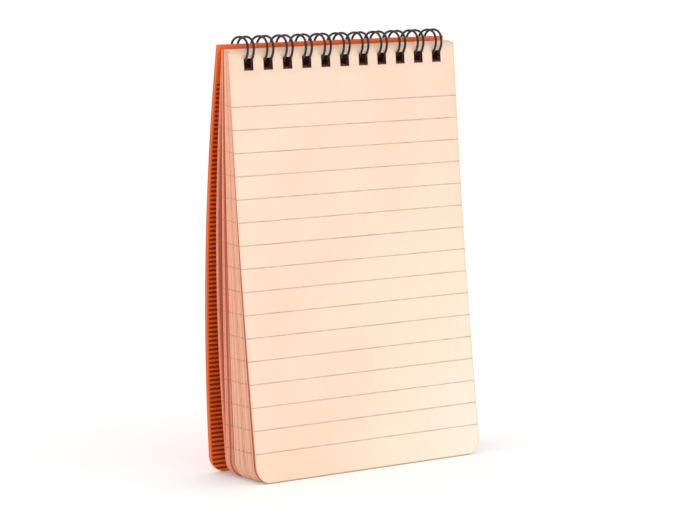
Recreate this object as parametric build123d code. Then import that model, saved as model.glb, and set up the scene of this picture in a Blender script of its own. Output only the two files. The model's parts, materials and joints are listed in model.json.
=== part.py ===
from build123d import *
import os
from math import asin, cos, degrees, pi, radians, sin, sqrt

# Top-bound pocket notebook, standing as a narrow A-frame on its lower edges.
# Millimetres. X runs across the page, +Y to the back covers, +Z up, floor at z = 0.
# Everything is laid out from the centre line of the wire loops, then moved so
# that the origin is the bottom centre of the bounding box.

# Leaves, punched in bunches: each bunch turns on the one behind it
leaf_width = 101.6
leaf_length = 152.4
leaf_thickness = 0.09
leaf_air = 0.01
leaf_corner_radius = 6.35
bunch_sizes = [1, 5, 4, 5, 4, 5, 4, 4, 4]
bunch_air = 0.04
front_leaf_y = -2.85
front_lean = 6.4
leaf_lean_step = 0.03
bunch_lean_step = 0.575

# Covers: two plates bowed backwards, lying one behind the other
cover_rise = 1.5
cover_thickness = 0.55
cover_air = 0.2
cover_top_lean = 9.1
cover_bow_radius = 625.0
cover_corner_radius = 6.35
turning_clearance = 0.3

# Punched row
hole_count = 11
hole_pitch = 25.4 / 3
hole_width = 4.0
hole_travel = 3.45
hole_clearance = 0.925

# Twin loop wire
wire_diameter = 0.85
loop_radius = 5.4
prong_spacing = 2.6
link_bend_radius = 0.9
link_clearance = 0.12
seam_gap = 0.15
edge_clearance = 0.1

# Worked out from the sizes above. A turned leaf stands as far behind the loop axis
# as it hung in front of it, so the covers start just beyond that.
leaf_count = sum(bunch_sizes)
leaf_pitch = leaf_thickness + leaf_air
last_leaf_y = front_leaf_y + (leaf_count - 1) * leaf_pitch + (len(bunch_sizes) - 1) * bunch_air
back_cover_y = turning_clearance - front_leaf_y
cover_height = leaf_length + cover_rise
# The holes are as tall as the wire and its travel, and reach hole_clearance below the loops.
hole_height = hole_travel + wire_diameter
hole_margin = loop_radius + wire_diameter / 2 - edge_clearance + hole_clearance - hole_height
axis_z = leaf_length + edge_clearance
prong_half = prong_spacing / 2
hole_x = [(i - (hole_count - 1) / 2) * hole_pitch for i in range(hole_count)]


def panel_outline(width, length, corner_radius):
    """Flat outline with its top edge on y = 0, rounded at the foot, with the punched row."""
    outline = make_face(Polyline(
        (-width / 2, 0), (width / 2, 0), (width / 2, -length), (-width / 2, -length), close=True))
    foot = outline.vertices().filter_by(lambda v: v.Y < -length / 2)
    outline = fillet(foot, corner_radius)
    hole_y = -hole_margin - hole_height / 2
    holes = [Pos(x, hole_y) * Rectangle(hole_width, hole_height) for x in hole_x]
    return outline - holes


def leaf(outline, index, bunch):
    """One flat leaf, leaning forward at the foot, its foot on the floor."""
    lean = front_lean - index * leaf_lean_step - bunch * bunch_lean_step
    back_y = front_leaf_y + index * leaf_pitch + bunch * bunch_air
    sheet = extrude(Plane.XZ * outline, leaf_thickness)
    return Pos(0, back_y, leaf_length * cos(radians(lean))) * (Rot(-lean, 0, 0) * sheet)


def cover(top_y):
    """A plate bowed backwards, its foot on the floor; top_y is its front face at the top edge."""
    # The bow is an arc about a centre in front of the plate, leaning back at the top edge.
    lean = radians(cover_top_lean)
    centre = Pos(-cover_bow_radius * cos(lean), -cover_bow_radius * sin(lean))
    bow = centre * (Circle(cover_bow_radius + cover_thickness) - Circle(cover_bow_radius))
    # A window longer than the plate keeps one stretch of the ring; the outline trims its ends.
    window = Pos(0, -cover_height / 2) * Rectangle(cover_height / 2, cover_height * 1.1)
    plate = extrude(Plane.YZ * (bow & window), leaf_width, both=True)
    outline = panel_outline(leaf_width, cover_height, cover_corner_radius)
    cutter = extrude(Plane.XZ * outline, cover_height / 2, both=True)
    return Pos(0, top_y, cover_height) * (plate & cutter)


def loop_point(x, angle):
    """Point on a loop; the angle is from straight down, positive towards the front."""
    a = radians(angle)
    return Vector(x, -loop_radius * sin(a), -loop_radius * cos(a))


def loop_tangent(angle):
    """Direction of travel round a loop as the angle grows."""
    a = radians(angle)
    return Vector(0, -cos(a), sin(a))


def wire_path():
    """Centre line of the whole wire: prongs, hairpin tips and the links between pairs."""
    # The links run just behind the last leaf, and the hairpin tips end just behind the links.
    link_y = last_leaf_y + link_clearance + wire_diameter / 2
    tip_y = link_y + wire_diameter + seam_gap
    base_angle = -degrees(asin((link_y - link_bend_radius) / loop_radius))
    tip_angle = 360 - degrees(asin((tip_y + prong_half) / loop_radius))
    middle = (base_angle + tip_angle) / 2
    down = loop_tangent(base_angle) * -link_bend_radius
    up = loop_tangent(tip_angle) * prong_half
    slant = sqrt(0.5)
    edges = []
    for number, x in enumerate(hole_x):
        left, right = x - prong_half, x + prong_half
        edges.append(ThreePointArc(
            loop_point(left, base_angle), loop_point(left, middle), loop_point(left, tip_angle)))
        edges.append(ThreePointArc(
            loop_point(left, tip_angle),
            loop_point(x, tip_angle) + up,
            loop_point(right, tip_angle)))
        edges.append(ThreePointArc(
            loop_point(right, tip_angle), loop_point(right, middle), loop_point(right, base_angle)))
        if number == hole_count - 1:
            continue
        far = hole_x[number + 1] - prong_half
        bend = link_bend_radius
        near_end = loop_point(right + bend, base_angle) + down
        far_end = loop_point(far - bend, base_angle) + down
        edges.append(ThreePointArc(
            loop_point(right, base_angle),
            loop_point(right + bend * (1 - slant), base_angle) + down * slant,
            near_end))
        edges.append(Line(near_end, far_end))
        edges.append(ThreePointArc(
            far_end,
            loop_point(far - bend * (1 - slant), base_angle) + down * slant,
            loop_point(far, base_angle)))
    return edges


def twin_loop_wire():
    """The wire as one solid, swept edge by edge and joined at the shared round sections."""
    pieces = []
    for edge in wire_path():
        section = Plane(edge @ 0, z_dir=edge % 0) * Circle(wire_diameter / 2)
        pieces.append(sweep(section, path=edge))
    return Pos(0, 0, axis_z) * (pieces[0] + pieces[1:])


leaf_outline = panel_outline(leaf_width, leaf_length, leaf_corner_radius)
parts = {"twin_loop_wire": twin_loop_wire()}
index = 0
for bunch, size in enumerate(bunch_sizes):
    for _ in range(size):
        parts[f"leaf_{index + 1:02d}"] = leaf(leaf_outline, index, bunch)
        index += 1
parts["back_cover"] = cover(back_cover_y)
parts["front_cover"] = cover(back_cover_y + cover_thickness + cover_air)

boxes = [part.bounding_box() for part in parts.values()]
front = min(box.min.Y for box in boxes)
rear = max(box.max.Y for box in boxes)
centring = Pos(0, -(front + rear) / 2, 0)

os.makedirs("parts", exist_ok=True)
for name, part in parts.items():
    export_step(centring * part, f"parts/{name}.step")

print("loop axis y", round(-(front + rear) / 2, 4), "z", round(axis_z, 4))
wire_length = sum(edge.length for edge in wire_path())
print("wire length", round(wire_length, 2), "volume", round(parts["twin_loop_wire"].volume, 2),
      "expected", round(wire_length * pi * wire_diameter**2 / 4, 2))
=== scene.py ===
"""Pocket notebook: ruled leaves and two covers on a twin loop wire, standing on its lower edges."""
import json
from math import asin, cos, radians, sin

import bpy
import numpy as np
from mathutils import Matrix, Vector


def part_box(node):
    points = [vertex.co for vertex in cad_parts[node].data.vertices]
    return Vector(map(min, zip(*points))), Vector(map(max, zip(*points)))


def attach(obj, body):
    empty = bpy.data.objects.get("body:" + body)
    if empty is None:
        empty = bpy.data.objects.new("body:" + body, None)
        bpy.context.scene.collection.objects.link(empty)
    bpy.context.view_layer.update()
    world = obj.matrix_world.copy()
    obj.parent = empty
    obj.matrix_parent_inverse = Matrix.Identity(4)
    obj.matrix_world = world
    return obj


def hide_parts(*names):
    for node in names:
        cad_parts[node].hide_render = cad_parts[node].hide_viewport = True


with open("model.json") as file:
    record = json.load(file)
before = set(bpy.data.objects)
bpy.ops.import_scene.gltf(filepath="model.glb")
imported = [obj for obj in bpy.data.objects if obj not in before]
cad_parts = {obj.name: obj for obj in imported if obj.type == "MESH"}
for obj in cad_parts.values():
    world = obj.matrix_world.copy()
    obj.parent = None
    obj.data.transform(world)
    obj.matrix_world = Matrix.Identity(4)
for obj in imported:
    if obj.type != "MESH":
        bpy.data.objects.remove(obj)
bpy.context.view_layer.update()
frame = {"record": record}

MM = 0.001
BODIES = frame["record"]["behaviour"]["bodies"]
AXIS = frame["record"]["behaviour"]["joints"][0]["pos_m"]

# Punched row, rounded corners and ruled lines; margins and first lines run down from the top edge
HOLE_COUNT = 11
HOLE_PITCH = 25.4 / 3 * MM
HOLE_WIDTH = 4.0 * MM
HOLE_MARGIN = 2.35 * MM
HOLE_HEIGHT = 4.3 * MM
CORNER_RADIUS = 6.35 * MM
FIRST_RULE = 19.3 * MM
RULE_PITCH = 8.15 * MM
RULE_COUNT = 16
RULE_WIDTH = 0.28 * MM
SOFTNESS = 0.1 * MM

LEAF_WIDTH = 101.6 * MM
LEAF_LENGTH = 152.4 * MM
LEAF_THICKNESS = 0.09 * MM

# The leaves whose edges lie in shade, painted on them as a dark edge tone and border, as runs of
# places counted from 0 at the front; where, from front (0) to back (1) of the stack, the edges turn
# salmon; and how wide the tint round a leaf is
PAINTED_SHADE_EDGES = ((1, 2), (12, 13), (26, 30))
SALMON_FROM = 0.84
BORDER = 1.0 * MM

# How leaves curve: the straight share of their forward lean, the last leaf's bow and how fast
# the bow grows towards it, and where the loose leaves begin and how far they stand off
STRAIGHT_SHARE = 0.72
LEAF_BOW = 3.4 * MM
BOW_GROWTH = 1.3
LOOSE_FROM = 0.96
LOOSE_BOW = 3.5 * MM

# How uneven the stack is: the reach of each wave, and its step in radians from one to the next
FOOT_DRIFT, FOOT_STEP = 0.33 * MM, 2.4
SIDE_DRIFT, SIDE_STEP = 0.12 * MM, 12.9

# The covers; the lean and the sharpest angle left unrounded are in degrees
COVER_THICKNESS = 0.55 * MM
COVER_TOP_LEAN = 9.1
COVER_BOW_RADIUS = 625.0 * MM
COVER_ROUNDING = 0.12 * MM
COVER_SHARP_ANGLE = 50

# Printed ruler: sixteenths, quarters and whole inches, each with the reach of its ticks
INCH = 25.4 * MM
TICKS = ((INCH / 16, 6.0 * MM), (INCH / 4, 8.0 * MM), (INCH, 11.0 * MM))
TICK_HALF_WIDTH = 0.32 * MM
TICK_SOFTNESS = 0.14 * MM
RULER_START = 14.2 * MM
RULER_INSET = 0.7 * MM
RULER_LENGTH = 5.47 * INCH

# The wire: its sizes, the gaps at its seam, and how far its loops are pressed at top and front
WIRE_DIAMETER = 0.85 * MM
LOOP_RADIUS = 5.4 * MM
PRONG_SPACING = 2.6 * MM
LINK_BEND_RADIUS = 0.9 * MM
LINK_CLEARANCE = 0.12 * MM
SEAM_GAP = 0.15 * MM
TOP_SQUASH = 0.24
FRONT_SQUASH = 0.13

# Steps in the meshes: down and across a sheet, and along and round the wire
BODY_STEPS = 37
FOOT_STEPS = 12
MARGIN_STEPS = 5
PRONG_STEPS = 96
HAIRPIN_STEPS = 16
BEND_STEPS = 8
TUBE_SIDES = 14
DOME_STEPS = 5
DOME_TIP = 0.02
UV_PER_METRE = 20


def display_colour(red, green, blue):
    """Linear colour from display values of 0 to 255."""
    def linear(value):
        value /= 255
        return value / 12.92 if value <= 0.04045 else ((value + 0.055) / 1.055) ** 2.4
    return (linear(red), linear(green), linear(blue), 1.0)


# Pairs run from the darker tone to the lighter
PEACH = display_colour(247, 215, 189), display_colour(250, 222, 199)
# Painted shade: the darker paper of the loose leaves at the back stands for the shade behind the stack
PAINTED_SHADE_PEACH = display_colour(196, 112, 88), display_colour(206, 124, 98)
EDGE_TONES = {
    "pale": (display_colour(246, 178, 146), display_colour(253, 198, 168)),
    "salmon": (display_colour(242, 154, 124), display_colour(250, 174, 144)),
    # Painted shade: the dark edge tone of the leaves shaded by the bunch in front
    "deep": (display_colour(190, 84, 60), display_colour(204, 104, 78))}
# Painted light: the paper turns paler and creamier towards the right and the foot
PAINTED_LIGHT_CREAM = display_colour(250, 238, 220)
FIBRE_TINT = display_colour(236, 196, 166)
RULE_INK = display_colour(168, 138, 118)
# Painted contact shadow: a dark band along each leaf's foot
PAINTED_FOOT_SHADOW = display_colour(128, 84, 64)
# Painted shade round the punched holes and on their walls
PAINTED_HOLE_SHADE = display_colour(104, 52, 40)
PAINTED_HOLE_WALL_SHADE = display_colour(74, 34, 28)
ORANGE_INNER = display_colour(242, 104, 34), display_colour(252, 122, 50)
ORANGE_OUTER = display_colour(236, 100, 34), display_colour(246, 116, 48)
SCUFFED_ORANGE = display_colour(246, 160, 108)
TICK_INK = display_colour(142, 46, 16)
BRONZE = display_colour(24, 14, 12), display_colour(56, 34, 28)


# ---------------------------------------------------------------- materials

class Shader:
    """A material's node tree with short calls for the nodes used here."""

    def __init__(self, name, **values):
        self.material = bpy.data.materials.new(name)
        self.material.use_nodes = True
        self.tree = self.material.node_tree
        self.surface = self.tree.nodes["Principled BSDF"]
        for socket, value in values.items():
            self.surface.inputs[socket.replace("_", " ")].default_value = value

    def node(self, kind, inputs=(), **settings):
        made = self.tree.nodes.new(kind)
        for key, value in settings.items():
            setattr(made, key, value)
        for key, value in dict(inputs).items():
            self.feed(made.inputs[key], value)
        return made

    def feed(self, socket, value):
        if isinstance(value, bpy.types.NodeSocket):
            self.tree.links.new(value, socket)
        else:
            socket.default_value = value

    def math(self, operation, *values):
        made = self.node("ShaderNodeMath", operation=operation)
        for socket, value in zip(made.inputs, values):
            self.feed(socket, value)
        return made.outputs[0]

    def mix(self, factor, first, second, blend="MIX"):
        made = self.node("ShaderNodeMix", data_type="RGBA", blend_type=blend)
        self.feed(made.inputs[0], factor)
        self.feed(made.inputs[6], first)
        self.feed(made.inputs[7], second)
        return made.outputs[2]

    def noise(self, vector, scale, detail=3.0, roughness=0.5):
        return self.node("ShaderNodeTexNoise", {
            "Vector": vector, "Scale": scale, "Detail": detail, "Roughness": roughness}).outputs[0]

    def spread(self, value, low, high, out_low=0.0, out_high=1.0):
        return self.node("ShaderNodeMapRange", {
            "Value": value, "From Min": low, "From Max": high,
            "To Min": out_low, "To Max": out_high}).outputs[0]

    def coordinates(self, kind):
        return self.node("ShaderNodeTexCoord").outputs[kind]

    def bump(self, height, strength, distance):
        made = self.node("ShaderNodeBump", {
            "Height": height, "Strength": strength, "Distance": distance})
        self.feed(self.surface.inputs["Normal"], made.outputs[0])


def stripe(shader, distance, pitch, half_width, soft):
    """1 on lines that repeat at pitch, 0 between: the distance to the nearest line, softened."""
    cell = shader.math("DIVIDE", distance, pitch)
    off = shader.math("ABSOLUTE", shader.math("SUBTRACT", cell, shader.math("ROUND", cell)))
    return shader.spread(shader.math("MULTIPLY", off, pitch), half_width, half_width + soft, 1.0, 0.0)


def inside(shader, value, low, high):
    """1 where value lies between low and high, otherwise 0."""
    return shader.math("MULTIPLY", shader.math("GREATER_THAN", value, low),
                       shader.math("LESS_THAN", value, high))


def ruled_paper(name, dark, light, border=None):
    """Peach writing paper: fibre mottle, feint rules that vary in ink, and a fine tooth.

    It turns paler and creamier towards the right and the foot, which is painted light, and a band
    of painted contact shadow darkens its cut foot. Where a border colour is given, it tints the paper
    along the outline, which is w = W/2 - r + sqrt(r^2 - h^2) from the middle at h past the bend of
    the corner, and the paper round the punched holes is darkened with painted shade.
    """
    paper = Shader(name, Roughness=0.88, Specular_IOR_Level=0.25)
    across, down, _ = paper.node("ShaderNodeSeparateXYZ", {0: paper.coordinates("UV")}).outputs
    place = paper.coordinates("Object")
    cloud = paper.noise(place, 35.0, 4.0)
    fibre = paper.noise(paper.node("ShaderNodeMapping", {
        "Vector": place, "Scale": (1.0, 1.0, 0.35)}).outputs[0], 1900.0, 6.0, 0.7)
    base = paper.mix(paper.spread(cloud, 0.3, 0.7), dark, light)
    # Painted light: paler, creamier paper towards the right and the foot
    painted_light_share = paper.math("MULTIPLY", paper.spread(across, -LEAF_WIDTH / 4, LEAF_WIDTH / 2),
                       paper.spread(down, LEAF_LENGTH / 5, LEAF_LENGTH))
    base = paper.mix(painted_light_share, base, PAINTED_LIGHT_CREAM)
    if border:
        from_middle = paper.math("ABSOLUTE", across)
        past_bend = paper.math("MAXIMUM", paper.math("SUBTRACT", down, LEAF_LENGTH - CORNER_RADIUS), 0.0)
        flank = paper.math("SQRT", paper.math("MAXIMUM", paper.math(
            "SUBTRACT", CORNER_RADIUS**2, paper.math("MULTIPLY", past_bend, past_bend)), 0.0))
        outline = paper.math("ADD", flank, LEAF_WIDTH / 2 - CORNER_RADIUS)
        inward = paper.math("SUBTRACT", outline, from_middle)
        base = paper.mix(paper.spread(inward, BORDER / 2, BORDER, 1.0, 0.0), base, border)
        # Painted shade: the paper round the punched holes is darkened
        columns = stripe(paper, across, HOLE_PITCH, HOLE_WIDTH / 2 + BORDER / 2, SOFTNESS)
        row = inside(paper, down, HOLE_MARGIN - BORDER / 2, HOLE_MARGIN + HOLE_HEIGHT + BORDER / 2)
        row_end = (HOLE_COUNT - 0.5) / 2 * HOLE_PITCH
        hole_shade_mask = paper.math("MULTIPLY", paper.math("MULTIPLY", columns, row),
                          paper.math("LESS_THAN", from_middle, row_end))
        base = paper.mix(hole_shade_mask, base, PAINTED_HOLE_SHADE)
    base = paper.mix(paper.spread(fibre, 0.35, 0.7, 0.0, 0.12), base, FIBRE_TINT)
    below_first = paper.math("SUBTRACT", down, FIRST_RULE)
    lines = stripe(paper, below_first, RULE_PITCH, RULE_WIDTH / 2, SOFTNESS)
    field = inside(paper, below_first, -RULE_PITCH / 2, (RULE_COUNT - 0.5) * RULE_PITCH)
    ink = paper.spread(paper.noise(place, 260.0, 3.0), 0.3, 0.65, 0.4, 0.75)
    amount = paper.math("MULTIPLY", paper.math("MULTIPLY", lines, field), ink)
    printed = paper.mix(amount, base, RULE_INK)
    # Painted contact shadow: a dark band along the foot
    cut = paper.spread(down, LEAF_LENGTH - 0.6 * MM, LEAF_LENGTH - 0.2 * MM, 0.0, 0.75)
    paper.feed(paper.surface.inputs["Base Color"], paper.mix(cut, printed, PAINTED_FOOT_SHADOW))
    paper.bump(fibre, 0.25, 0.03 * MM)
    return paper.material


def paper_edge(name, dark, light):
    """The cut edge of a leaf, mottled, with painted shade darkening the walls of the punched holes."""
    edge = Shader(name, Roughness=0.9, Specular_IOR_Level=0.2)
    place = edge.coordinates("Object")
    grain = edge.noise(place, 900.0, 4.0)
    across, down, _ = edge.node("ShaderNodeSeparateXYZ", {0: edge.coordinates("UV")}).outputs
    # Painted shade on the walls of the punched holes
    row_end = (HOLE_COUNT - 1) / 2 * HOLE_PITCH + HOLE_WIDTH / 2 + SOFTNESS
    in_row = edge.math("LESS_THAN", edge.math("ABSOLUTE", across), row_end)
    punched = edge.math("MULTIPLY", in_row, inside(
        edge, down, HOLE_MARGIN - SOFTNESS, HOLE_MARGIN + HOLE_HEIGHT + SOFTNESS))
    colour = edge.mix(edge.spread(grain, 0.35, 0.65), dark, light)
    edge.feed(edge.surface.inputs["Base Color"], edge.mix(punched, colour, PAINTED_HOLE_WALL_SHADE))
    edge.bump(grain, 0.2, 0.02 * MM)
    return edge.material


def cover_sheet(name, dark, light, ruled):
    """Fine-grained polypropylene sheet; ruled adds plain ruler ticks down both long edges."""
    sheet = Shader(name, Roughness=0.42, Specular_IOR_Level=0.45, Coat_Weight=0.12, Coat_Roughness=0.3)
    place = sheet.coordinates("Object")
    cloud = sheet.noise(place, 22.0, 3.0)
    colour = sheet.mix(sheet.spread(cloud, 0.3, 0.7), dark, light)
    grain = sheet.node("ShaderNodeTexVoronoi", {"Vector": place, "Scale": 2600.0}).outputs[0]
    scuff = sheet.noise(sheet.node("ShaderNodeMapping", {
        "Vector": place, "Scale": (1.0, 1.0, 0.08)}).outputs[0], 700.0, 4.0, 0.65)
    colour = sheet.mix(sheet.spread(scuff, 0.58, 0.8, 0.0, 0.25), colour, SCUFFED_ORANGE)
    if ruled:
        across, down, _ = sheet.node("ShaderNodeSeparateXYZ", {0: sheet.coordinates("UV")}).outputs
        colour = sheet.mix(ruler_ticks(sheet, across, down), colour, TICK_INK)
    sheet.feed(sheet.surface.inputs["Base Color"], colour)
    sheet.feed(sheet.surface.inputs["Roughness"], sheet.spread(scuff, 0.3, 0.8, 0.36, 0.56))
    sheet.bump(grain, 0.35, 0.04 * MM)
    return sheet.material


def ruler_ticks(sheet, across, down):
    """Ticks every sixteenth of an inch in from the edge, longer at each quarter and inch."""
    in_from_edge = sheet.math("SUBTRACT", LEAF_WIDTH / 2 - RULER_INSET, sheet.math("ABSOLUTE", across))
    along = sheet.math("SUBTRACT", down, RULER_START)
    ticks = None
    for pitch, length in TICKS:
        line = sheet.math("MULTIPLY", stripe(sheet, along, pitch, TICK_HALF_WIDTH, TICK_SOFTNESS),
                          inside(sheet, in_from_edge, 0.0, length))
        ticks = line if ticks is None else sheet.math("MAXIMUM", ticks, line)
    return sheet.math("MULTIPLY", ticks, inside(sheet, along, -0.5 * MM, RULER_LENGTH))


def coated_wire():
    """Nearly black bronze coating on round wire: satin, with faint lengthwise draw marks."""
    wire = Shader("coated_wire", Metallic=0.1, Roughness=0.42, Specular_IOR_Level=0.4,
                  Coat_Weight=0.12, Coat_Roughness=0.25)
    place = wire.coordinates("Object")
    tone = wire.noise(place, 420.0, 4.0)
    marks = wire.noise(wire.coordinates("UV"), 60.0, 5.0, 0.7)
    wire.feed(wire.surface.inputs["Base Color"], wire.mix(wire.spread(tone, 0.35, 0.7), *BRONZE))
    wire.feed(wire.surface.inputs["Roughness"], wire.spread(marks, 0.3, 0.7, 0.36, 0.52))
    wire.bump(marks, 0.15, 0.02 * MM)
    return wire.material


# ---------------------------------------------------------------- meshes

def grid_object(name, points, keep, uvs, materials):
    """A mesh from a rows x columns x 3 array of points; keep says which cells have a face."""
    rows, columns, _ = points.shape
    index = np.arange(rows * columns).reshape(rows, columns)
    quads = np.stack([index[:-1, :-1], index[1:, :-1], index[1:, 1:], index[:-1, 1:]], axis=-1)[keep]
    used = np.unique(quads)
    renumber = np.full(rows * columns, -1)
    renumber[used] = np.arange(len(used))
    quads = renumber[quads]
    mesh = bpy.data.meshes.new(name)
    mesh.from_pydata(points.reshape(-1, 3)[used], [], quads)
    layer = mesh.uv_layers.new(name="UVMap")
    layer.data.foreach_set("uv", uvs.reshape(-1, 2)[used][quads.ravel()].astype(np.float32).ravel())
    mesh.polygons.foreach_set("use_smooth", np.ones(len(quads), dtype=bool))
    for material in materials:
        mesh.materials.append(material)
    made = bpy.data.objects.new(name, mesh)
    bpy.context.collection.objects.link(made)
    return made


def sheet_columns(half_width):
    """Columns across a sheet, as signed shares of its half width: hole edges, then even steps."""
    centres = (np.arange(HOLE_COUNT) - (HOLE_COUNT - 1) / 2) * HOLE_PITCH
    edges = np.stack([centres - HOLE_WIDTH / 2, centres + HOLE_WIDTH / 2], axis=1).ravel()
    margin = np.linspace(edges[-1], half_width, MARGIN_STEPS + 1)[1:]
    return np.concatenate([-margin[::-1], edges, margin]) / half_width


def sheet_rows(length):
    """Rows down a sheet: the top edge, the hole edges, even steps, then the rounded foot."""
    foot = CORNER_RADIUS * (1 - np.cos(np.linspace(0, np.pi / 2, FOOT_STEPS + 1)))[::-1]
    top = np.array([0.0, HOLE_MARGIN, HOLE_MARGIN + HOLE_HEIGHT])
    body = np.linspace(top[-1], length - CORNER_RADIUS, BODY_STEPS + 1)[1:-1]
    return np.concatenate([top, body, length - foot])


def sheet(name, half_width, length, place, thickness, materials):
    """A thin sheet whose middle surface is place(across, down): columns by rows of points.

    The outline is a rectangle with quarter-circle corners at the foot, so a row at height h
    above the foot is narrower by r - sqrt(r^2 - (r - h)^2). Cells inside the square holes have
    no face, and Solidify gives the wall its thickness towards the back.
    """
    share = sheet_columns(half_width)
    down = sheet_rows(length)
    rise = np.clip(CORNER_RADIUS - (length - down), 0, CORNER_RADIUS)
    half = half_width - (CORNER_RADIUS - np.sqrt(CORNER_RADIUS**2 - rise**2))
    across = half[:, None] * share[None, :]
    level = np.broadcast_to(down[:, None], across.shape)
    points = place(across, level)
    keep = np.ones((len(down) - 1, len(share) - 1), dtype=bool)
    middle = (share[:-1] + share[1:]) / 2 * half_width / HOLE_PITCH
    in_hole = np.abs(middle - np.round(middle)) * HOLE_PITCH < HOLE_WIDTH / 2
    in_hole &= np.abs(np.round(middle)) <= (HOLE_COUNT - 1) / 2
    keep[1, in_hole] = False
    made = grid_object(name, points, keep, np.stack([across, level], axis=-1), materials)
    wall = made.modifiers.new("wall", "SOLIDIFY")
    wall.thickness = thickness
    wall.offset = -1.0
    wall.material_offset_rim = len(materials) - 1
    return made


def leaf_shape(node, number, bunch, order):
    """The curve of one leaf, from where its CAD plate starts and ends.

    With q the share of the way down and s STRAIGHT_SHARE, it goes forward by
    F (s q + (1 - s) q^2), and leaves nearer the covers also bow back by B (q - q^3), so the
    stack opens into a fan. Bunches drift a little at the foot, each leaf sits a hair to one
    side, and the loose leaves at the back stand off the rest by L sin(pi q).
    """
    low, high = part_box(node)
    top_y = high[1] - LEAF_THICKNESS
    forward = top_y - low[1] + FOOT_DRIFT * sin(FOOT_STEP * bunch)
    aside = SIDE_DRIFT * sin(SIDE_STEP * number)
    bow = LEAF_BOW * order**BOW_GROWTH
    loose = LOOSE_BOW if order > LOOSE_FROM else 0.0

    def place(across, down):
        q = down / LEAF_LENGTH
        lean = forward * (STRAIGHT_SHARE * q + (1 - STRAIGHT_SHARE) * q**2)
        y = top_y - lean + bow * (q - q**3) + loose * np.sin(np.pi * q)
        z = high[2] * (1 - q)
        return np.stack([across + aside, y, z], axis=-1)
    return place


def make_leaves():
    """Every leaf, each riding on its own bunch; painted shade darkens edges where bunches shade each
    other.
    """
    front = ruled_paper("ruled_paper", *PEACH), paper_edge("peach_edge", *PEACH)
    looks = {tone: (ruled_paper(f"ruled_paper_{tone}_border", *PEACH, light),
                    paper_edge(f"{tone}_edge", dark, light))
             for tone, (dark, light) in EDGE_TONES.items()}
    # Painted shade: the loose leaves at the back get darker paper and border, for the shade behind the
    # stack
    back = (ruled_paper("ruled_paper_at_the_back", *PAINTED_SHADE_PEACH, EDGE_TONES["salmon"][0]),
            looks["salmon"][1])
    leaves = sorted((node, body) for body, nodes in BODIES.items()
                    for node in nodes if node.startswith("leaf_"))
    bunches = list(dict.fromkeys(body for _, body in leaves))
    for number, (node, body) in enumerate(leaves):
        low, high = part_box(node)
        order = number / (len(leaves) - 1)
        if number == 0:
            look = front
        elif order > LOOSE_FROM:
            look = back
        # Painted shade: these leaves get the dark edge tone and border
        elif any(start <= number < stop for start, stop in PAINTED_SHADE_EDGES):
            look = looks["deep"]
        else:
            look = looks["salmon" if order > SALMON_FROM else "pale"]
        shape = leaf_shape(node, number, bunches.index(body), order)
        half_width = (high[0] - low[0]) / 2
        made = sheet(f"paper_{node}", half_width, LEAF_LENGTH, shape, LEAF_THICKNESS, look)
        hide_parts(node)
        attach(made, body)


def make_cover(node, materials):
    """A bowed cover: the arc (y - cy)^2 + (z - cz)^2 = R^2, leaning back at its top edge.

    The centre (cy, cz) lies in front of the cover, a radius away from its top edge.
    """
    low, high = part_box(node)
    lean = radians(COVER_TOP_LEAN)
    centre_y = low[1] - COVER_BOW_RADIUS * cos(lean)
    centre_z = high[2] - COVER_BOW_RADIUS * sin(lean)

    def place(across, down):
        z = high[2] - down
        y = centre_y + np.sqrt(COVER_BOW_RADIUS**2 - (z - centre_z) ** 2)
        return np.stack([across, y, z], axis=-1)
    half_width = (high[0] - low[0]) / 2
    made = sheet(f"{node}_sheet", half_width, high[2], place, COVER_THICKNESS, materials)
    made.modifiers["wall"].material_offset = 1
    made.modifiers["wall"].material_offset_rim = 1
    rounding = made.modifiers.new("rounding", "BEVEL")
    rounding.width = COVER_ROUNDING
    rounding.segments = 2
    rounding.limit_method = "ANGLE"
    rounding.angle_limit = radians(COVER_SHARP_ANGLE)
    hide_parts(node)
    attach(made, node)


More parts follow.
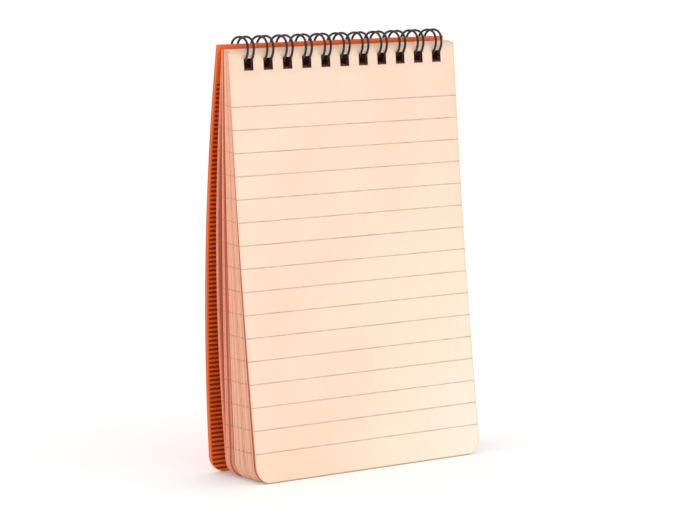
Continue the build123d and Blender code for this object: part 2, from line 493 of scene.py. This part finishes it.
def wire_line(last_leaf_y):
    """Points and outward directions along the wire's centre line.

    Each prong is an arc about the loop axis. Two prongs join in a half-circle hairpin, and
    pairs join in quarter bends and a straight link; both lie in the loop's tangent plane.
    The loops are then pressed a little flat: heights by 1 - TOP_SQUASH (1 + z / R) / 2, and
    depths in front of the axis by 1 - FRONT_SQUASH |y| / R.
    """
    link_y = last_leaf_y + LINK_CLEARANCE + WIRE_DIAMETER / 2
    tip_y = link_y + WIRE_DIAMETER + SEAM_GAP
    half = PRONG_SPACING / 2
    base = -asin((link_y - LINK_BEND_RADIUS) / LOOP_RADIUS)
    tip = 2 * np.pi - asin((tip_y + half) / LOOP_RADIUS)

    def ring(x, angles):
        out = np.stack([np.zeros_like(angles), -np.sin(angles), -np.cos(angles)], axis=1)
        return out * LOOP_RADIUS + np.array([1.0, 0, 0]) * x, out

    def tangent_plane(x, along, angle):
        out = np.array([0, -sin(angle), -cos(angle)])
        onward = np.array([0, -cos(angle), sin(angle)])
        points = out * LOOP_RADIUS + along[:, None] * onward + x[:, None] * np.array([1.0, 0, 0])
        return points, np.broadcast_to(out, points.shape)

    prong = np.linspace(base, tip, PRONG_STEPS + 1)
    turn = np.linspace(0, np.pi, HAIRPIN_STEPS + 1)[1:-1]
    quarter = np.linspace(0, np.pi / 2, BEND_STEPS + 1)[1:]
    runs = []
    for number in range(HOLE_COUNT):
        x = (number - (HOLE_COUNT - 1) / 2) * HOLE_PITCH
        runs.append(ring(x - half, prong))
        runs.append(tangent_plane(x - half * np.cos(turn), half * np.sin(turn), tip))
        runs.append(ring(x + half, prong[::-1]))
        if number < HOLE_COUNT - 1:
            bend = LINK_BEND_RADIUS
            near = x + half + bend * (1 - np.cos(quarter))
            far = x + HOLE_PITCH - half - bend * (1 - np.cos(quarter[::-1]))
            runs.append(tangent_plane(near, -bend * np.sin(quarter), base))
            runs.append(tangent_plane(far[:-1], -bend * np.sin(quarter[::-1])[:-1], base))
    points = np.concatenate([run[0] for run in runs])
    points[:, 2] *= 1 - TOP_SQUASH * (1 + points[:, 2] / LOOP_RADIUS) / 2
    points[:, 1] *= 1 - FRONT_SQUASH * np.maximum(-points[:, 1], 0) / LOOP_RADIUS
    return points + np.array([0.0, AXIS[1], AXIS[2]]), np.concatenate([run[1] for run in runs])


def make_wire(material):
    """A round tube: a circle carried along the centre line, p + r (cos t out + sin t side).

    Its ends are domed: over the last half diameter the circle shrinks to r cos a at r sin a.
    """
    last_leaf = max(node for nodes in BODIES.values() for node in nodes if node.startswith("leaf_"))
    line, out = wire_line(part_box(last_leaf)[1][1] - AXIS[1])
    step = np.gradient(line, axis=0)
    along = step / np.linalg.norm(step, axis=1, keepdims=True)
    side = np.cross(along, out)
    side /= np.linalg.norm(side, axis=1, keepdims=True)
    out = np.cross(side, along)
    dome = np.linspace(0, np.pi / 2, DOME_STEPS + 1)[1:]
    reach = (np.sin(dome) * WIRE_DIAMETER / 2)[:, None]
    scale = np.concatenate([np.cos(dome)[::-1], np.ones(len(line)), np.cos(dome)])
    scale = np.maximum(scale, DOME_TIP)
    line = np.concatenate([line[0] - reach[::-1] * along[0], line, line[-1] + reach * along[-1]])
    out = np.pad(out, ((DOME_STEPS, DOME_STEPS), (0, 0)), mode="edge")
    side = np.pad(side, ((DOME_STEPS, DOME_STEPS), (0, 0)), mode="edge")
    turn = np.linspace(0, 2 * np.pi, TUBE_SIDES, endpoint=False)
    circle = (np.cos(turn)[None, :, None] * out[:, None, :]
              + np.sin(turn)[None, :, None] * side[:, None, :])
    points = line[:, None, :] + circle * (scale * WIRE_DIAMETER / 2)[:, None, None]
    count = len(line)
    index = np.arange(count * TUBE_SIDES).reshape(count, TUBE_SIDES)
    after = np.roll(index, -1, axis=1)
    quads = np.stack([index[:-1], after[:-1], after[1:], index[1:]], axis=-1).reshape(-1, 4)
    mesh = bpy.data.meshes.new("bronze_twin_loop_wire")
    ends = [list(index[0][::-1]), list(index[-1])]
    mesh.from_pydata(points.reshape(-1, 3), [], [list(quad) for quad in quads] + ends)
    travelled = np.concatenate([[0], np.cumsum(np.linalg.norm(np.diff(line, axis=0), axis=1))])
    round_and_along = np.broadcast_arrays(turn[None, :] / (2 * np.pi), travelled[:, None] * UV_PER_METRE)
    uv = np.stack(round_and_along, axis=-1)
    corners = np.concatenate([quads.ravel(), ends[0], ends[1]])
    layer = mesh.uv_layers.new(name="UVMap")
    layer.data.foreach_set("uv", uv.reshape(-1, 2)[corners].astype(np.float32).ravel())
    mesh.polygons.foreach_set("use_smooth", np.ones(len(mesh.polygons), dtype=bool))
    mesh.materials.append(material)
    made = bpy.data.objects.new("bronze_twin_loop_wire", mesh)
    bpy.context.collection.objects.link(made)
    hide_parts("twin_loop_wire")
    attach(made, "wire")


# ---------------------------------------------------------------- setting

FLOOR_REACH = 4.0
FLOOR_TONE = 0.9
FLOOR_GLOW = 0.13
# Each light's name, place and size in metres, and power in watts; both aim at LIGHT_TARGET
LIGHTS = (("key", (-0.5, -1.3, 1.1), 1.2, 1.6), ("fill", (1.2, -0.9, 0.9), 1.4, 1.2))
LIGHT_TARGET = (0, 0, 0.07)


def make_setting():
    """A plain white floor that glows faintly, an even white surround and two soft lights."""
    mesh = bpy.data.meshes.new("floor")
    corners = [(x * FLOOR_REACH, y * FLOOR_REACH, 0) for x, y in ((-1, -1), (1, -1), (1, 1), (-1, 1))]
    mesh.from_pydata(corners, [], [(0, 1, 2, 3)])
    floor = bpy.data.objects.new("floor", mesh)
    bpy.context.collection.objects.link(floor)
    white = Shader("floor_white", Roughness=0.7)
    white.surface.inputs["Base Color"].default_value = (FLOOR_TONE, FLOOR_TONE, FLOOR_TONE, 1)
    white.surface.inputs["Emission Color"].default_value = (1, 1, 1, 1)
    white.surface.inputs["Emission Strength"].default_value = FLOOR_GLOW
    mesh.materials.append(white.material)
    world = bpy.context.scene.world or bpy.data.worlds.new("surround")
    bpy.context.scene.world = world
    world.use_nodes = True
    world.node_tree.nodes["Background"].inputs[0].default_value = (1, 1, 1, 1)
    world.node_tree.nodes["Background"].inputs[1].default_value = 1.0
    for name, place, size, power in LIGHTS:
        light = bpy.data.objects.new(name, bpy.data.lights.new(name, "AREA"))
        light.data.size = size
        light.data.energy = power
        light.location = place
        light.rotation_euler = (Vector(LIGHT_TARGET) - Vector(place)).to_track_quat("-Z", "Y").to_euler()
        bpy.context.collection.objects.link(light)
    bpy.context.scene.view_settings.view_transform = "Standard"


def make_camera():
    """The view: from the front left, a little above the notebook's middle, with a long lens."""
    turn = radians(37.05)
    rise = radians(7.1)
    distance = 1.1058
    target = Vector((0.22 * MM, AXIS[1], 76.17 * MM))
    back = Vector((-sin(turn) * cos(rise), -cos(turn) * cos(rise), sin(rise)))
    camera = bpy.data.objects.new("camera", bpy.data.cameras.new("camera"))
    camera.location = target + back * distance
    camera.rotation_euler = (-back).to_track_quat("-Z", "Y").to_euler()
    camera.data.sensor_width = 36.0
    camera.data.lens = 161.2
    bpy.context.collection.objects.link(camera)
    bpy.context.scene.camera = camera


make_leaves()
orange_inner = cover_sheet("orange_cover_ruled", *ORANGE_INNER, True)
orange_plain = cover_sheet("orange_cover_plain", *ORANGE_OUTER, False)
make_cover("back_cover", [orange_inner, orange_plain])
make_cover("front_cover", [orange_plain, orange_plain])
make_wire(coated_wire())
make_setting()
make_camera()
